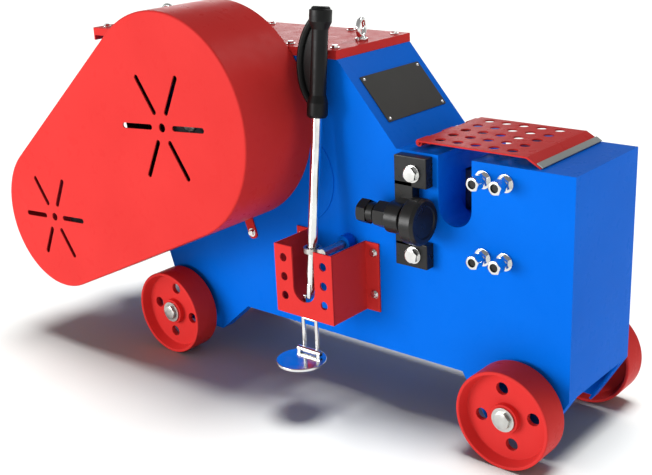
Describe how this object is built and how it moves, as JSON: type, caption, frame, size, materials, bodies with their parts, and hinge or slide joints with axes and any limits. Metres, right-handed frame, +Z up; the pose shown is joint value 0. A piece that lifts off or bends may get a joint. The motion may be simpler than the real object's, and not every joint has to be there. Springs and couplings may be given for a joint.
{
  "type": "rebar cutter",
  "caption": "Electric rebar cutter on four wheels: welded housing, belt-driven flywheel, gear train, hand lever and foot pedal clutch, and a crank-driven shear blade.",
  "frame": {"origin": "centre of the footprint on the floor, under the middle of the whole machine", "axes": "+X along the machine towards the cutting head, -Y towards the operator, +Z up"},
  "size_m": [1.3485, 0.4898, 0.7969],
  "materials": {
    "blue_paint": "glossy enamel, slight orange peel",
    "red_paint": "glossy enamel",
    "dark_plate": "satin",
    "grey_paint": "satin",
    "black_paint": "semi-gloss",
    "black_plastic": "moulded, lightly textured",
    "chrome_plate": "bright plating",
    "machined_steel": "machined, oiled",
    "tool_steel": "ground",
    "cast_iron": "as cast, machined rims",
    "belt_rubber": "matte"
  },
  "bodies": {
    "root": {"main_housing": "blue_paint", "head_block": "blue_paint", "motor_housing": "blue_paint", "motor_fan_cowl": "blue_paint", "motor_terminal_box": "blue_paint", "motor_plate": "blue_paint", "crank_cover": "blue_paint", "top_lid": "red_paint", "belt_guard": "red_paint", "cover_hinge": "red_paint", "lever_bracket": "red_paint", "nameplate": "dark_plate", "rest_bracket": "black_paint", "rest_locknut": "black_paint", "eye_bolt_right": "chrome_plate", "eye_bolt_left": "chrome_plate", "left_axle": "chrome_plate", "right_axle": "chrome_plate", "rest_bolt_upper": "chrome_plate", "rest_bolt_lower": "chrome_plate", "blade_stud_1": "chrome_plate", "blade_stud_2": "chrome_plate", "blade_stud_3": "chrome_plate", "blade_stud_4": "chrome_plate", "lever_pivot_pin": "machined_steel", "flywheel_bearing_near": "machined_steel", "flywheel_bearing_far": "machined_steel", "middle_bearing_near": "machined_steel", "middle_bearing_far": "machined_steel", "crank_bearing_near": "machined_steel", "crank_bearing_far": "machined_steel", "fixed_blade": "tool_steel", "v_belt_1": "belt_rubber", "v_belt_2": "belt_rubber", "v_belt_3": "belt_rubber"},
    "flywheel": {"flywheel": "cast_iron", "pinion_shaft": "machined_steel"},
    "motor_shaft": {"motor_rotor": "machined_steel", "motor_pulley": "cast_iron"},
    "intermediate_gear": {"intermediate_shaft": "machined_steel", "intermediate_gear": "cast_iron"},
    "main_gear": {"main_gear": "cast_iron"},
    "crankshaft": {"crankshaft": "machined_steel"},
    "clutch_sleeve": {"clutch_sleeve": "machined_steel"},
    "connecting_rod": {"connecting_rod": "cast_iron"},
    "ram": {"ram_slider": "machined_steel", "moving_blade": "tool_steel", "wrist_pin": "machined_steel"},
    "shift_fork": {"shift_fork": "machined_steel"},
    "lever": {"lever_tube": "chrome_plate", "lever_grip": "black_plastic", "pedal_fork": "chrome_plate"},
    "pedal": {"pedal_disc": "chrome_plate"},
    "safety_cover": {"safety_cover": "red_paint", "cover_edge_strip": "grey_paint"},
    "rest_screw": {"rest_screw": "black_paint"},
    "near_left_wheel": {"near_left_wheel": "red_paint"},
    "far_left_wheel": {"far_left_wheel": "red_paint"},
    "near_right_wheel": {"near_right_wheel": "red_paint"},
    "far_right_wheel": {"far_right_wheel": "red_paint"}
  },
  "joints": [
    {"name": "flywheel_spin", "type": "hinge", "parent": "root", "child": "flywheel", "pos_m": [-0.11875, 0, 0.5675], "axis": [0, 1, 0], "continuous": true},
    {"name": "motor_spin", "type": "hinge", "parent": "root", "child": "motor_shaft", "pos_m": [-0.50975, 0, 0.3165], "axis": [0, 1, 0], "continuous": true},
    {"name": "intermediate_spin", "type": "hinge", "parent": "root", "child": "intermediate_gear", "pos_m": [-0.11473, 0, 0.42756], "axis": [0, 1, 0], "continuous": true},
    {"name": "main_gear_spin", "type": "hinge", "parent": "root", "child": "main_gear", "pos_m": [0.05725, 0, 0.454], "axis": [0, 1, 0], "continuous": true},
    {"name": "crank_turn", "type": "hinge", "parent": "root", "child": "crankshaft", "pos_m": [0.05725, 0, 0.454], "axis": [0, 1, 0], "range_deg": [0, 180]},
    {"name": "rod_swing", "type": "hinge", "parent": "crankshaft", "child": "connecting_rod", "pos_m": [0.03525, 0, 0.454], "axis": [0, 1, 0], "range_deg": [-180.5, 0]},
    {"name": "ram_slide", "type": "slide", "parent": "root", "child": "ram", "axis": [1, 0, 0], "range_m": [0, 0.0441]},
    {"name": "clutch_slide", "type": "slide", "parent": "crankshaft", "child": "clutch_sleeve", "axis": [0, -1, 0], "range_m": [0, 0.0165]},
    {"name": "lever_swing", "type": "hinge", "parent": "root", "child": "lever", "pos_m": [0.15975, -0.14895, 0.222], "axis": [1, 0, 0], "range_deg": [0, 8], "stiffness_Nm_per_rad": 4, "springref_deg": -5.73},
    {"name": "fork_slide", "type": "slide", "parent": "root", "child": "shift_fork", "axis": [0, -1, 0], "range_m": [0, 0.0165]},
    {"name": "pedal_fold", "type": "hinge", "parent": "lever", "child": "pedal", "pos_m": [0.15975, -0.15845, 0.132], "axis": [-1, 0, 0], "range_deg": [0, 45]},
    {"name": "cover_swing", "type": "hinge", "parent": "root", "child": "safety_cover", "pos_m": [0.34325, 0, 0.551], "axis": [0, -1, 0], "range_deg": [0, 105]},
    {"name": "rest_screw_feed", "type": "slide", "parent": "root", "child": "rest_screw", "axis": [1, 0, 0], "range_m": [-0.007, 0.004]},
    {"name": "near_left_wheel_roll", "type": "hinge", "parent": "root", "child": "near_left_wheel", "pos_m": [-0.28875, -0.09975, 0.0943], "axis": [0, 1, 0], "continuous": true},
    {"name": "near_right_wheel_roll", "type": "hinge", "parent": "root", "child": "near_right_wheel", "pos_m": [0.57865, -0.09975, 0.0943], "axis": [0, 1, 0], "continuous": true},
    {"name": "far_left_wheel_roll", "type": "hinge", "parent": "root", "child": "far_left_wheel", "pos_m": [-0.28875, 0.21485, 0.0943], "axis": [0, 1, 0], "continuous": true},
    {"name": "far_right_wheel_roll", "type": "hinge", "parent": "root", "child": "far_right_wheel", "pos_m": [0.57865, 0.21485, 0.0943], "axis": [0, 1, 0], "continuous": true}
  ],
  "couplings": [
    {"joint": "motor_spin", "follows": "flywheel_spin", "ratio": 3.6182},
    {"joint": "intermediate_spin", "follows": "flywheel_spin", "ratio": -0.30233},
    {"joint": "main_gear_spin", "follows": "flywheel_spin", "ratio": 0.078868},
    {"joint": "rod_swing", "follows": "crank_turn", "ratio": -1},
    {"joint": "ram_slide", "follows": "crank_turn", "m_per_rad": 0.014006},
    {"joint": "clutch_slide", "follows": "lever_swing", "m_per_rad": 0.116},
    {"joint": "fork_slide", "follows": "lever_swing", "m_per_rad": 0.116}
  ]
}
